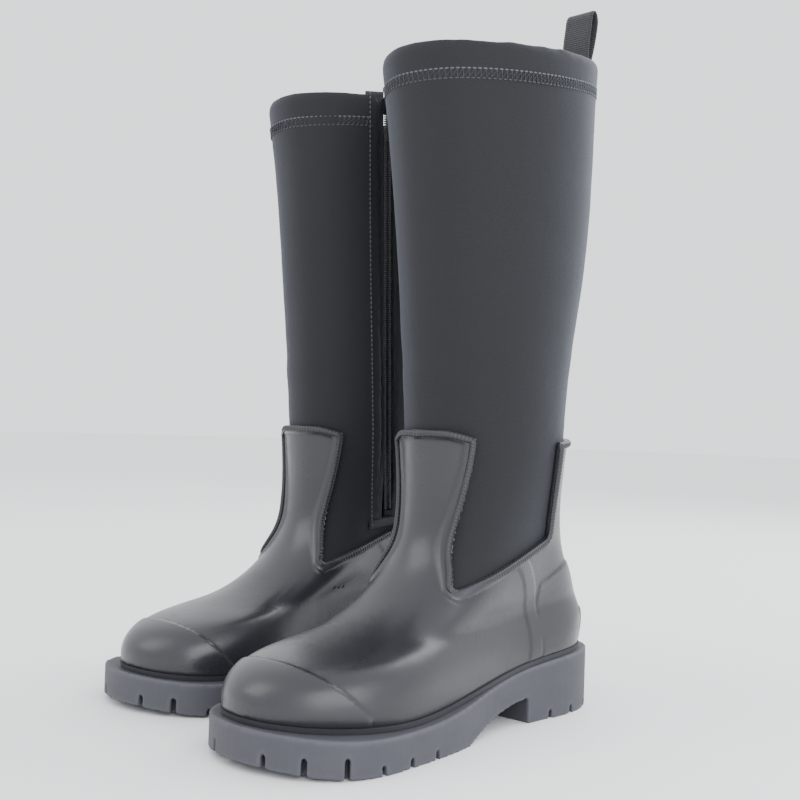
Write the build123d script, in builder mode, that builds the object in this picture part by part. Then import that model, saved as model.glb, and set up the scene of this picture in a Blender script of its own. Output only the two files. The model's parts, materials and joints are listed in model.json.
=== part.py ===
from build123d import *
from copy import copy
from functools import cache
import math
import os

os.makedirs("parts", exist_ok=True)

# A pair of tall neoprene boots with moulded rubber galoshes and lug soles, in millimetres.
# One left boot is modelled with its heel at y = 0, its toe towards -Y, its outer side towards +X
# and the ground at z = 0. The right boot is its mirror image, stood beside it.

# ---- Overall sizes
sole_length = 280
heel_half_width = 38
waist_half_width = 37
ball_half_width = 56
shaft_height = 408.7
rim_front_drop = 5.1
rim_back_rise = 14.1
ankle_level = 126
ankle_depth = 113
ankle_width = 77
calf_depth = 160
calf_width = 118
toe_out_angle = 2.2
boot_spacing = 133.7
boot_stagger = 25.5

# ---- Wall thicknesses and the clearance between two layers
neoprene_wall = 3
rubber_wall = 2.2
lining_wall = 0.8
stiffener_wall = 1
overlay_wall = 0.8
layer_gap = 0.2

# ---- Lug sole
heel_rise = 38
ball_rise = 19.4
toe_rise = 23
toe_spring = 6
heel_block_length = 84
arch_length = 67
arch_height = 15.4
notch_width = 3
notch_cut_height = 5.5
notch_cut_depth = 6
notch_spacing = 22
toe_notch_start = 20
toe_notch_count = 6
heel_notch_start = 19
heel_notch_count = 4
groove_width = 5
groove_depth = 4
groove_margin = 13
groove_spacing = 32
welt_height = 3
welt_wall = 1.6

# ---- Rubber galosh
tongue_height = 176
tongue_edge = -133
back_tab_edge = -70
notch_front = -150
notch_height = 84
notch_back = -66
notch_back_height = 112
rim_width = 4.6
rim_proud = 1.4
strap_width = 11
strap_start = -100
strap_foot = -78
strap_bow = 3
strap_margin = 0.6
counter_height = 96
toe_cap_back = -228
patch_height = 62
patch_half_width = 24

# ---- Collar and pull loop
hem_height = 25
hem_wall = 2
loop_width = 22
loop_height = 39
loop_depth = 10
loop_lean = 8
loop_offset = 8
webbing_wall = 1.2
anchor_height = 18

# ---- Zip on the inner side
zip_bottom = 114
zip_forward_low = 9
zip_forward_high = 31
slot_width = 9.6
chain_width = 5.6
chain_gap = 1.8
chain_wall = 1.8
chain_proud = 0.9
chain_start = 6
tooth_pitch = 3
tooth_depth = 0.9
tape_width = 14
tape_wall = 0.6
facing_width = 10
facing_wall = 0.8
gusset_width = 36
gusset_wall = 0.7
gusset_depth = 5
slider_length = 12
slider_width = 8.4
slider_wall = 1.4
slider_clearance = 0.6
slider_below_rim = 14
slider_lip = 0.9
bridge_height = 1.7
stop_overhang = 0.4
stop_length = 3
pull_length = 25
pull_width = 7.4
pull_wall = 1.4
pull_bar_radius = 0.8
pull_hole_radius = 2

# ---- Parts over the outsole and under the foot
shank_width = 14
shank_length = 90
shank_wall = 1.6
insole_board_wall = 2
footbed_wall = 5

# ---- Levels that follow from the sizes above
shaft_back = -30.6
shaft_front = shaft_back - ankle_depth
calf_back_shift = 17
side_reach = 150
galosh_outer = layer_gap + rubber_wall
overlay_inner = galosh_outer + layer_gap
overlay_outer = overlay_inner + overlay_wall
lining_outer = -neoprene_wall - layer_gap
lining_inner = lining_outer - lining_wall
hem_inner = lining_outer - hem_wall


# ---- The foot form: slices through the upper from the sole to the ankle. Each has its front point
# and its back point in the side view, its half width, and how far it has turned from a foot
# outline into an ellipse.
def foot_slices():
    share = sole_length / 280
    return [
        (-266.0 * share, 8, -9.0, 8, 46.5, 0),
        (-270.0 * share, 22, -8.4, 30, 47.0, 0),
        (-271.0 * share, 35, -6.9, 44, 47.0, 0),
        (-258.5 * share, 46.5, -2.8, 58, 42.5, 0),
        (-222.5 * share, 55, -6.2, 70, 36.5, 0.1),
        (-181.0 * share, 71, -14.2, 84, 37.2, 0.24),
        (-151.0 * share, 99, -26.0, 102, 37.8, 0.5),
    ]


def shaft_slice(height):
    """Front, back and half width of the shaft at a height: it flares from the ankle to the calf."""
    rise = (height - ankle_level) / (shaft_height - ankle_level)
    calf = min(max((height - 185) / 140, 0), 1)
    front = shaft_front - (calf_depth - ankle_depth - calf_back_shift) * max(rise, 0) ** 1.7
    back = shaft_back + calf_back_shift * calf * calf * (3 - 2 * calf)
    half_width = (ankle_width + (calf_width - ankle_width) * max(rise, 0) ** 0.75) / 2
    return front, back, half_width


def all_slices():
    slices = foot_slices()
    for step in range(9):
        height = ankle_level + step * (shaft_height + 30 - ankle_level) / 8
        roundness = 0.8 if step == 0 else 1
        front, back, half_width = shaft_slice(height)
        slices.append((front, height, back, height, half_width, roundness))
    return slices


# Foot outline from heel to toe: how far forward, then its share of the half width on the outer
# and the inner side.
outline_stations = [
    (0.97, 0.42, 0.45),
    (0.87, 0.68, 0.66),
    (0.72, 0.70, 0.62),
    (0.56, 0.78, 0.62),
    (0.40, 0.92, 0.74),
    (0.24, 1.00, 0.93),
    (0.13, 0.84, 0.90),
    (0.03, 0.42, 0.56),
]


def slice_points(half_width, roundness):
    """Points around one slice: (share of the way from front to back, sideways)."""
    outer = []
    inner = []
    for share, outer_share, inner_share in outline_stations:
        round_share = 2 * math.sqrt(share * (1 - share))
        outer.append((share, half_width * (outer_share + (round_share - outer_share) * roundness)))
        inner.append((share, -half_width * (inner_share + (round_share - inner_share) * roundness)))
    return [(1, 0)] + outer + [(0, 0)] + inner[::-1]


def running_lengths(points):
    """How far along a closed loop of points each one lies."""
    lengths = [0.0]
    for here, there in zip(points, points[1:] + points[:1]):
        lengths.append(lengths[-1] + math.dist(here, there))
    return lengths


# All slices share one spacing along their splines, which keeps the lofted surface light.
slice_parameters = running_lengths([(2 * share, x / 50) for share, x in slice_points(50, 0.4)])


def moved_along_normal(points, index, distance, side):
    """Move one point of a side-view line square to that line."""
    before = points[max(index - 1, 0)]
    after = points[min(index + 1, len(points) - 1)]
    run = after[0] - before[0]
    rise = after[1] - before[1]
    length = math.hypot(run, rise)
    y, z = points[index]
    return y + side * distance * rise / length, z - side * distance * run / length


@cache
def boot_form(growth):
    """The solid that the upper encloses, grown or shrunk evenly by a distance."""
    slices = all_slices()
    fronts = [(s[0], s[1]) for s in slices]
    backs = [(s[2], s[3]) for s in slices]
    with BuildPart() as form:
        for index, (_, _, _, _, half_width, roundness) in enumerate(slices):
            front = moved_along_normal(fronts, index, growth, -1)
            back = moved_along_normal(backs, index, growth, 1)
            along = Vector(0, back[0] - front[0], back[1] - front[1])
            plane = Plane(origin=(0, front[0], front[1]), x_dir=along, z_dir=along.cross(Vector(-1, 0, 0)))
            points = [(share * along.length, -x) for share, x in slice_points(half_width + growth, roundness)]
            with BuildSketch(plane):
                with BuildLine():
                    add(Edge.make_spline(points, periodic=True, parameters=slice_parameters))
                make_face()
        loft()
    return form.part


def shell_between(outer_growth, inner_growth):
    """A wall between two sizes of the boot form, open at both ends."""
    return boot_form(outer_growth) - boot_form(inner_growth)


# ---- Regions of the side view, made as slabs that reach through the boot
def sole_top_line(lift):
    """The line along which the upper meets the sole, raised by a distance."""
    toe = -sole_length
    return [
        (25, heel_rise + 0.2 + lift),
        (-35, heel_rise - 0.9 + lift),
        (-heel_block_length, heel_rise - 5 + lift),
        (-140, (heel_rise + 2.6 * ball_rise) / 3.6 + lift),
        (toe + 95, ball_rise + lift),
        (toe + 40, ball_rise + lift),
        (toe, toe_rise + lift),
        (toe - 25, toe_rise + 5 + lift),
    ]


def above_sole(lift):
    """Everything above the sole's top, raised by a distance."""
    with BuildPart() as region:
        with BuildSketch(Plane.YZ):
            with BuildLine():
                top = Spline(*sole_top_line(lift))
                Polyline(top @ 1, (-sole_length - 25, 520), (25, 520), top @ 0)
            make_face()
        extrude(amount=side_reach, both=True)
    return region.part


def sole_band(low, high):
    """A layer that lies over the sole's top."""
    return above_sole(low) - above_sole(high)


def below_rim(drop):
    """Everything below the collar's rim, lowered by a distance."""
    middle = (-14 - calf_depth - 13) / 2
    with BuildPart() as region:
        with BuildSketch(Plane.YZ):
            with BuildLine():
                rim = ThreePointArc(
                    (middle - calf_depth / 2, shaft_height - rim_front_drop - drop),
                    (middle, shaft_height - drop),
                    (middle + calf_depth / 2, shaft_height + rim_back_rise - drop),
                )
                front_end = (middle - calf_depth / 2 - 150, (rim @ 0).Y)
                back_end = (middle + calf_depth / 2 + 40, (rim @ 1).Y)
                Polyline(rim @ 1, back_end, (back_end[0], -20), (front_end[0], -20), front_end, rim @ 0)
            make_face()
        extrude(amount=side_reach, both=True)
    return region.part


def galosh_region(inset):
    """The side view of the galosh: a tongue in front, a low notch at the side, a tab behind."""
    corners = [
        (tongue_edge, tongue_height - 4, 4),
        (notch_front, notch_height, 7),
        (notch_back, notch_back_height, 7),
        (back_tab_edge, tongue_height - 5, 4),
    ]
    with BuildPart() as region:
        with BuildSketch(Plane.YZ) as side:
            with BuildLine():
                Line((-sole_length - 30, -20), (-sole_length - 30, tongue_height + 2))
                Line((-sole_length - 30, tongue_height + 2), (shaft_front, tongue_height))
                Line((shaft_front, tongue_height), corners[0][:2])
                tongue_middle = ((tongue_edge + notch_front) / 2 + 5, (tongue_height + notch_height) / 2)
                ThreePointArc(corners[0][:2], tongue_middle, corners[1][:2])
                Line(corners[1][:2], corners[2][:2])
                Line(corners[2][:2], corners[3][:2])
                Line(corners[3][:2], (25, tongue_height + 2))
                Line((25, tongue_height + 2), (25, -20))
                Line((25, -20), (-sole_length - 30, -20))
            make_face()
            for y, z, radius in corners:
                fillet(side.vertices().sort_by_distance((0, y, z))[0], radius)
            if inset > 0:
                offset(amount=-inset, mode=Mode.REPLACE)
        extrude(amount=side_reach, both=True)
    return region.part


def side_slab(*points):
    """A slab through the boot with a straight-edged side view."""
    with BuildPart() as region:
        with BuildSketch(Plane.YZ):
            with BuildLine():
                Polyline(*points, close=True)
            make_face()
        extrude(amount=side_reach, both=True)
    return region.part


def toe_slab(grow):
    """The part of the upper in front of the toe cap's slanting edge."""
    back = toe_cap_back + grow
    return side_slab((back, -10), (back, 26), (back - 44, 72), (-sole_length - 30, 90), (-sole_length - 30, -10))


def strap_edge(side):
    """The front (-1) or rear (1) edge of a counter strap in the side view."""
    half = side * strap_width / 2
    waist = strap_foot + strap_bow
    top = (strap_start + half, 102 + 2 * side)
    return Edge.make_three_point_arc(top, (waist + half, 73), (strap_foot + half, 30))


def heel_slab(grow):
    """The part of the upper behind the counter straps and below the counter's edge."""
    front = strap_edge(1).bounding_box().max.X + strap_margin - grow
    top = counter_height + grow
    return side_slab((front, -10), (front, top - 14), (front + 32, top - 2), (25, top), (25, -10))


# ---- Sole outline
def sole_outline():
    """The outline of the outsole seen from above, from the heel round the outer side."""
    toe = -sole_length - 1
    points = [
        (0, 0),
        (heel_half_width - 12.5, -8.4),
        (heel_half_width - 0.6, -32.8),
        (heel_half_width + 0.1, -heel_block_length),
        (waist_half_width + 5.5, -124),
        (ball_half_width - 3.5, toe + 114.7),
        (ball_half_width + 1.5, toe + 74),
        (ball_half_width - 1.3, toe + 34.4),
        (ball_half_width - 18.3, toe + 13.2),
        (0, toe),
        (18.0 - ball_half_width, toe + 13.8),
        (2.0 - ball_half_width, toe + 36),
        (1.0 - ball_half_width, toe + 70),
        (13.4 - ball_half_width, toe + 115.5),
        (3.0 - waist_half_width, -124),
        (3.6 - heel_half_width, -heel_block_length),
        (1.8 - heel_half_width, -32.8),
        (13.8 - heel_half_width, -8.4),
    ]
    return Edge.make_spline(points, periodic=True)


def edge_notches():
    """Where the notches cross the sole's edge: their places and the direction of the edge there."""
    outline = sole_outline()
    toe = outline.length * outline.param_at_point((0, -sole_length - 1, 0))
    reaches = []
    for number in range(toe_notch_count):
        reach = toe_notch_start + number * notch_spacing
        reaches += [toe - reach, toe + reach]
    for number in range(heel_notch_count):
        reach = heel_notch_start + number * notch_spacing
        reaches += [reach, outline.length - reach]
    places = []
    for reach in reaches:
        point = outline.position_at(reach, position_mode=PositionMode.LENGTH)
        tangent = outline.tangent_at(reach, position_mode=PositionMode.LENGTH)
        places.append(Plane(origin=point, x_dir=tangent, z_dir=(0, 0, 1)))
    return places


def make_outsole():
    arch_front = -heel_block_length - arch_length
    toe = -sole_length
    with BuildPart() as outsole:
        with BuildSketch():
            with BuildLine():
                add(sole_outline())
            make_face()
        extrude(amount=heel_rise + 15)
        with BuildSketch(Plane.YZ):
            with BuildLine():
                top = Spline(*sole_top_line(0))
                spring = ThreePointArc((toe - 25, toe_spring * 2), (toe + 12, toe_spring * 0.45), (toe + 50, 0))
                Line(top @ 1, spring @ 0)
                Line(spring @ 1, (arch_front, 0))
                arch = ThreePointArc(
                    (arch_front, 0),
                    (arch_front + 0.44 * arch_length, 0.62 * arch_height),
                    (-heel_block_length, arch_height),
                )
                Polyline(arch @ 1, (-heel_block_length, 0), (25, 0), top @ 0)
            make_face()
        extrude(amount=side_reach, both=True, mode=Mode.INTERSECT)
        for place in edge_notches():
            with BuildSketch(place.offset(-1)):
                Rectangle(notch_width, 2 * notch_cut_depth)
            extrude(amount=notch_cut_height + 1 + toe_spring * (place.origin.Y < toe + 30), mode=Mode.SUBTRACT)
        with BuildSketch():
            with GridLocations(0, groove_spacing, 1, 3):
                with Locations((0, toe + 30 + groove_spacing)):
                    Rectangle(2 * (ball_half_width - groove_margin), groove_width)
            with Locations((0, -24), (0, -24 - groove_spacing)):
                Rectangle(2 * (heel_half_width - groove_margin), groove_width)
        extrude(amount=groove_depth, mode=Mode.SUBTRACT)
    return outsole.part


# ---- Zip: a straight line on the shaft's inner side, and a frame of reference that runs along it
def zip_point(height, forward):
    front, back, half_width = shaft_slice(height)
    middle = (front + back) / 2
    share = forward / ((back - front) / 2)
    return Vector(-half_width * math.sqrt(1 - share * share), middle - forward, height)


zip_low = zip_point(ankle_level, zip_forward_low)
zip_high = zip_point(shaft_height - 18, zip_forward_high)
zip_along = (zip_high - zip_low).normalized()
zip_outward = (Vector(-0.98, -0.2, 0) - zip_along * Vector(-0.98, -0.2, 0).dot(zip_along)).normalized()
zip_start = zip_low + zip_along * ((zip_bottom - zip_low.Z) / zip_along.Z)
zip_plane = Plane(origin=zip_start, x_dir=zip_along, z_dir=zip_outward)
zip_run = (shaft_height - zip_bottom) / zip_along.Z
slider_place = zip_run - slider_below_rim
chain_bottom = chain_proud - chain_wall
tape_outer = -neoprene_wall - layer_gap
tape_inner = tape_outer - tape_wall
pull_axis_height = chain_proud + slider_clearance + slider_wall + bridge_height


def zip_box(start, end, low_side, high_side, low, high):
    """A block in the zip's frame: along the zip, across it, and outwards from the shaft's face."""
    with BuildPart() as block:
        with BuildSketch(zip_plane.offset(low)):
            with Locations(((start + end) / 2, (low_side + high_side) / 2)):
                Rectangle(end - start, high_side - low_side)
        extrude(amount=high - low)
    return block.part


def zip_slot(margin, start):
    """The opening that the zip closes, wider by a margin, from a place along the zip to the rim."""
    half = slot_width / 2 + margin
    return zip_box(start, zip_run + 60, -half, half, -14, 12)


# ---- Pieces of the upper
def make_neoprene_shaft():
    with BuildPart() as neoprene_shaft:
        add(shell_between(0, -neoprene_wall))
        add(above_sole(layer_gap), mode=Mode.INTERSECT)
        add(below_rim(0), mode=Mode.INTERSECT)
        add(zip_slot(0, 0), mode=Mode.SUBTRACT)
    return neoprene_shaft.part


def make_lining():
    tape_half = tape_width + layer_gap
    bottom = shank_wall + insole_board_wall + 3 * layer_gap
    with BuildPart() as lining:
        add(shell_between(lining_outer, lining_inner))
        add(above_sole(bottom), mode=Mode.INTERSECT)
        add(below_rim(hem_height + layer_gap), mode=Mode.INTERSECT)
        add(zip_box(-6, zip_run + 60, -tape_half, tape_half, -14, 12), mode=Mode.SUBTRACT)
    return lining.part


def make_galosh():
    with BuildPart() as galosh:
        add(shell_between(galosh_outer, layer_gap))
        add(above_sole(layer_gap), mode=Mode.INTERSECT)
        add(galosh_region(rim_width), mode=Mode.INTERSECT)
        pocket = boot_form(2 * layer_gap + stiffener_wall)
        add(pocket & toe_slab(layer_gap), mode=Mode.SUBTRACT)
        add(pocket & heel_slab(layer_gap), mode=Mode.SUBTRACT)
    return galosh.part


def make_galosh_rim():
    with BuildPart() as galosh_rim:
        add(shell_between(galosh_outer + rim_proud, layer_gap))
        add(galosh_region(0), mode=Mode.INTERSECT)
        add(galosh_region(rim_width), mode=Mode.SUBTRACT)
    return galosh_rim.part


def make_stiffener(slab):
    with BuildPart() as stiffener:
        add(shell_between(layer_gap + stiffener_wall, layer_gap))
        add(above_sole(layer_gap), mode=Mode.INTERSECT)
        add(slab, mode=Mode.INTERSECT)
    return stiffener.part


def make_toe_cap():
    with BuildPart() as toe_cap:
        add(shell_between(overlay_outer, overlay_inner))
        add(above_sole(welt_height + layer_gap), mode=Mode.INTERSECT)
        add(toe_slab(0), mode=Mode.INTERSECT)
    return toe_cap.part


def make_heel_counter():
    with BuildPart() as heel_counter:
        add(shell_between(overlay_outer, overlay_inner))
        add(above_sole(welt_height + layer_gap), mode=Mode.INTERSECT)
        add(heel_slab(0), mode=Mode.INTERSECT)
    return heel_counter.part


def make_heel_patch():
    inner = overlay_outer + layer_gap
    with BuildPart() as heel_patch:
        add(shell_between(inner + overlay_wall, inner))
        add(above_sole(welt_height + layer_gap), mode=Mode.INTERSECT)
        with BuildSketch():
            Rectangle(2 * patch_half_width, 80)
        extrude(amount=patch_height, mode=Mode.INTERSECT)
    return heel_patch.part


def make_counter_straps():
    with BuildPart() as counter_straps:
        add(shell_between(overlay_outer, overlay_inner))
        with BuildSketch(Plane.YZ):
            with BuildLine():
                front = strap_edge(-1)
                back = strap_edge(1)
                add([front, back])
                Line(front @ 0, back @ 0)
                Line(front @ 1, back @ 1)
            make_face()
        extrude(amount=side_reach, both=True, mode=Mode.INTERSECT)
        add(above_sole(welt_height + layer_gap), mode=Mode.INTERSECT)
        add(galosh_region(rim_width + layer_gap), mode=Mode.INTERSECT)
    return counter_straps.part


def make_welt():
    with BuildPart() as welt:
        add(shell_between(overlay_inner + welt_wall, overlay_inner))
        add(sole_band(layer_gap, welt_height), mode=Mode.INTERSECT)
    return welt.part


def make_collar_hem():
    with BuildPart() as collar_hem:
        add(shell_between(lining_outer, hem_inner))
        add(below_rim(0), mode=Mode.INTERSECT)
        add(below_rim(hem_height), mode=Mode.SUBTRACT)
        add(zip_slot(tape_width - slot_width / 2 + layer_gap, -6), mode=Mode.SUBTRACT)
    return collar_hem.part


# ---- Pieces under the foot
def make_layer(inset, low, high):
    """A sheet that fills the boot form over a stretch of height above the sole's top."""
    with BuildPart() as layer:
        add(boot_form(inset))
        add(sole_band(low, high), mode=Mode.INTERSECT)
    return layer.part


def shank_block(gap):
    middle = -heel_block_length - arch_length / 2
    with BuildPart() as block:
        with BuildSketch():
            with Locations((0, middle)):
                SlotCenterToCenter(shank_length - shank_width, shank_width + 2 * gap, rotation=90)
        extrude(amount=80)
    return block.part


def make_shank():
    with BuildPart() as shank:
        add(shank_block(0))
        add(sole_band(layer_gap, layer_gap + shank_wall), mode=Mode.INTERSECT)
    return shank.part


def make_sole_filler():
    with BuildPart() as sole_filler:
        add(make_layer(-neoprene_wall - layer_gap, layer_gap, layer_gap + shank_wall))
        add(shank_block(layer_gap), mode=Mode.SUBTRACT)
    return sole_filler.part


# ---- Pull loop
def loop_back(height):
    return shaft_slice(height)[1]


def make_pull_loop():
    base = shaft_height + rim_back_rise + 1
    with BuildPart() as pull_loop:
        with BuildSketch(Plane.YZ.offset(loop_offset - loop_width / 2)):
            with Locations((loop_back(shaft_height), base)):
                with Locations(Location((0, 0), -loop_lean)):
                    with Locations((0, webbing_wall + 0.6)):
                        Circle(webbing_wall + 0.6)
                    with Locations((0, loop_height - loop_depth / 2)):
                        Circle(loop_depth / 2)
            make_hull()
            offset(amount=-webbing_wall, mode=Mode.SUBTRACT)
        extrude(amount=loop_width)
    return pull_loop.part


def make_loop_anchor():
    outer = hem_inner - layer_gap
    with BuildPart() as loop_anchor:
        add(shell_between(outer, outer - 2 * webbing_wall))
        add(below_rim(layer_gap), mode=Mode.INTERSECT)
        add(below_rim(anchor_height), mode=Mode.SUBTRACT)
        with BuildSketch():
            with Locations((loop_offset, 0)):
                Rectangle(loop_width, 100)
        extrude(amount=2 * shaft_height, mode=Mode.INTERSECT)
    return loop_anchor.part


# ---- Pieces of the zip
def make_zip_facing():
    half = slot_width / 2 + facing_width
    with BuildPart() as zip_facing:
        add(shell_between(layer_gap + facing_wall, layer_gap))
        add(zip_box(-7, zip_run + 60, -half, half, -14, 12), mode=Mode.INTERSECT)
        add(below_rim(0.5), mode=Mode.INTERSECT)
        add(zip_slot(0, 0), mode=Mode.SUBTRACT)
    return zip_facing.part


def make_zip_gusset():
    outer = tape_inner - gusset_depth
    half = gusset_width / 2
    with BuildPart() as zip_gusset:
        add(shell_between(outer, outer - gusset_wall))
        add(zip_box(-8, zip_run + 60, -half, half, -24, 12), mode=Mode.INTERSECT)
        add(below_rim(hem_height + layer_gap), mode=Mode.INTERSECT)
    return zip_gusset.part


def make_zip_tape(side):
    edges = sorted((side * chain_gap / 2, side * tape_width))
    with BuildPart() as zip_tape:
        add(shell_between(tape_outer, tape_inner))
        add(zip_box(-5, zip_run + 60, edges[0], edges[1], -14, 12), mode=Mode.INTERSECT)
        add(below_rim(1), mode=Mode.INTERSECT)
    return zip_tape.part


def make_zip_coil(side):
    """Half of the chain: a cord with a tooth at every pitch."""
    root = side * (chain_gap / 2 + tooth_depth)
    tip = side * chain_gap / 2
    points = []
    teeth = int((zip_run - chain_start - 1 - chain_start) / tooth_pitch)
    for number in range(teeth):
        along = chain_start + number * tooth_pitch
        points += [(along, root), (along, tip), (along + tooth_pitch / 2, tip), (along + tooth_pitch / 2, root)]
    points += [(points[-1][0], side * chain_width / 2), (chain_start, side * chain_width / 2)]
    with BuildPart() as zip_coil:
        with BuildSketch(zip_plane.offset(chain_bottom)):
            with BuildLine():
                Polyline(*points, close=True)
            make_face()
        extrude(amount=chain_wall)
    return zip_coil.part


def make_zip_top_stops():
    half = chain_width / 2 + stop_overhang
    start = zip_run - chain_start + 1
    end = start + stop_length
    high = chain_proud + stop_overhang
    with BuildPart() as top_stops:
        add(zip_box(start, end, chain_gap / 2, half, chain_bottom, high))
        add(zip_box(start, end, -half, -chain_gap / 2, chain_bottom, high))
    return top_stops.part


def make_zip_bottom_stop():
    half = chain_width / 2 + stop_overhang
    end = chain_start - 1
    return zip_box(end - stop_length, end, -half, half, chain_bottom, chain_proud + stop_overhang)


def make_zip_slider():
    """Two plates joined by a neck between the coils, side lips, and a bridge that holds the pull."""
    half_width = slider_width / 2
    start = slider_place - slider_length / 2
    end = slider_place + slider_length / 2
    plate_low = chain_proud + slider_clearance
    plate_high = plate_low + slider_wall
    under_high = tape_inner - 2 * slider_clearance
    under_low = under_high - slider_wall
    under_half = half_width - slider_clearance
    window_high = pull_axis_height + pull_bar_radius + 0.5
    neck_half = chain_gap / 4
    with BuildPart() as zip_slider:
        add(zip_box(start, end, -half_width, half_width, plate_low, plate_high))
        fillet(zip_slider.edges().filter_by(Axis(zip_start, zip_outward)), 2)
        for side in (-1, 1):
            edges = sorted((side * half_width, side * (half_width - slider_lip)))
            add(zip_box(start + 2, end - 2, *edges, chain_bottom + 0.4, plate_low))
        add(zip_box(slider_place + 2, end - 1, -neck_half, neck_half, under_high - 0.5, plate_low))
        add(zip_box(start + 1, end - 1, -under_half, under_half, under_low, under_high))
        add(zip_box(slider_place - 3, slider_place + 4, -0.8, 0.8, plate_high, window_high + 1))
        window = zip_box(slider_place - 1.6, slider_place + 2.6, -1, 1, plate_high, window_high)
        add(window, mode=Mode.SUBTRACT)
    return zip_slider.part


def make_zip_pull():
    place = slider_place + 0.5
    low = pull_axis_height - pull_wall / 2
    high = pull_axis_height + pull_wall / 2
    half = pull_width / 2
    arm_end = place - slider_length / 2 - 2
    with BuildPart() as zip_pull:
        with BuildSketch(zip_plane.offset(low)):
            with Locations((arm_end - (pull_length - 8) / 2, 0)):
                RectangleRounded(pull_length - 8, pull_width, 2)
            for side in (-1, 1):
                with Locations(((place + arm_end - 2) / 2, side * (half - 1.3))):
                    Rectangle(place - arm_end + 2, 1.6)
            with Locations((place - pull_length + 3.5, 0)):
                Circle(pull_hole_radius, mode=Mode.SUBTRACT)
        extrude(amount=high - low)
        bar_plane = Plane(
            origin=zip_plane.from_local_coords(Vector(place, -half + 0.5, pull_axis_height)),
            z_dir=zip_plane.y_dir,
        )
        with BuildSketch(bar_plane):
            Circle(pull_bar_radius)
        extrude(amount=pull_width - 1)
    return zip_pull.part


# ---- All the pieces of a left boot, from the ground up
board_low = 2 * layer_gap + shank_wall
bed_low = board_low + insole_board_wall + layer_gap
left_pieces = {
    "outsole": make_outsole(),
    "welt": make_welt(),
    "shank": make_shank(),
    "sole_filler": make_sole_filler(),
    "insole_board": make_layer(-neoprene_wall - layer_gap, board_low, board_low + insole_board_wall),
    "footbed": make_layer(lining_inner - layer_gap, bed_low, bed_low + footbed_wall),
    "neoprene_shaft": make_neoprene_shaft(),
    "lining": make_lining(),
    "toe_puff": make_stiffener(toe_slab(0)),
    "heel_stiffener": make_stiffener(heel_slab(0)),
    "galosh": make_galosh(),
    "galosh_rim": make_galosh_rim(),
    "toe_cap": make_toe_cap(),
    "heel_counter": make_heel_counter(),
    "heel_patch": make_heel_patch(),
    "counter_straps": make_counter_straps(),
    "collar_hem": make_collar_hem(),
    "loop_anchor": make_loop_anchor(),
    "pull_loop": make_pull_loop(),
    "zip_facing": make_zip_facing(),
    "zip_gusset": make_zip_gusset(),
    "zip_tape_front": make_zip_tape(1),
    "zip_tape_rear": make_zip_tape(-1),
    "zip_coil_front": make_zip_coil(1),
    "zip_coil_rear": make_zip_coil(-1),
    "zip_top_stops": make_zip_top_stops(),
    "zip_bottom_stop": make_zip_bottom_stop(),
    "zip_slider": make_zip_slider(),
    "zip_pull": make_zip_pull(),
}

# ---- The pair: the right boot mirrors the left one and stands beside it, and the origin is the
# middle of the ground under both
stand_beside = Location((-boot_spacing, boot_stagger, 0), (0, 0, -toe_out_angle))
pieces = {}
for name, piece in left_pieces.items():
    pieces["left_" + name] = piece
    pieces["right_" + name] = stand_beside * mirror(piece, Plane.YZ)
covered = Compound(children=[copy(piece) for piece in pieces.values()]).bounding_box()
centre = Location((-covered.center().X, -covered.center().Y, -covered.min.Z))
print("origin moved by", centre.position)
for name, piece in pieces.items():
    placed = centre * piece
    placed.label = name
    export_step(placed, "parts/" + name + ".step")
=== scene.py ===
import json
import math

import bmesh
import bpy
import numpy as np
from bpy.props import FloatProperty, FloatVectorProperty, IntProperty, PointerProperty
from mathutils import Matrix, Vector, noise
from mathutils.bvhtree import BVHTree

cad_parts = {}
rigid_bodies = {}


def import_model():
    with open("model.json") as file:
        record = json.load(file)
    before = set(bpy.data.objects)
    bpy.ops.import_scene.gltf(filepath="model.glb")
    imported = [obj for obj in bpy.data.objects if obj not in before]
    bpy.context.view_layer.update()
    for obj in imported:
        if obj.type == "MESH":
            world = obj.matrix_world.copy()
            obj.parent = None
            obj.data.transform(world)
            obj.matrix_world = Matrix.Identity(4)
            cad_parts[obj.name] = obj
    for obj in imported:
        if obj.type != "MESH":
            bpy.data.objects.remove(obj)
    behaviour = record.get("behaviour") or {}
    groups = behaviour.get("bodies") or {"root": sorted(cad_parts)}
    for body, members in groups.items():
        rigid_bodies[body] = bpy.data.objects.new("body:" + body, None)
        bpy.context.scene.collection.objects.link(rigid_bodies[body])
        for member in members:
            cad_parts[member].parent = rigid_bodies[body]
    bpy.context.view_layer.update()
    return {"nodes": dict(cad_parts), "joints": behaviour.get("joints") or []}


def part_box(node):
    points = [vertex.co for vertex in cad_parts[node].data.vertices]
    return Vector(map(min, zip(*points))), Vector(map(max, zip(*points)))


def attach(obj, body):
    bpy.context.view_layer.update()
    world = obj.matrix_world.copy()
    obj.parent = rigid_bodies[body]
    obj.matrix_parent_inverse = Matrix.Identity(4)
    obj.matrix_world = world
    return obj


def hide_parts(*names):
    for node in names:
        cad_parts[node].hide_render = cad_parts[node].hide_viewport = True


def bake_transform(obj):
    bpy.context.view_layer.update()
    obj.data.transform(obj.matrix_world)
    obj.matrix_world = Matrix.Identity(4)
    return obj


bl_info = {
    "name": "Neoprene and rubber boots",
    "version": (1, 0, 0),
    "blender": (4, 5, 0),
    "location": "3D View > Sidebar > Boots",
    "description": "Skins, stitching, zips, webbing and finishes for a pair of tall boots",
    "category": "Object",
}

for spare in list(bpy.data.objects):
    bpy.data.objects.remove(spare)
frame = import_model()
MM = 0.001
UP = Vector((0, 0, 1))
SIDES = ("left", "right")
RUBBER_NODES = ("galosh", "galosh_rim", "toe_cap", "heel_counter", "heel_patch", "counter_straps")
SHELL_NODES = ("neoprene_shaft", "lining", "collar_hem")


# ---- Sizes and colours

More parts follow.
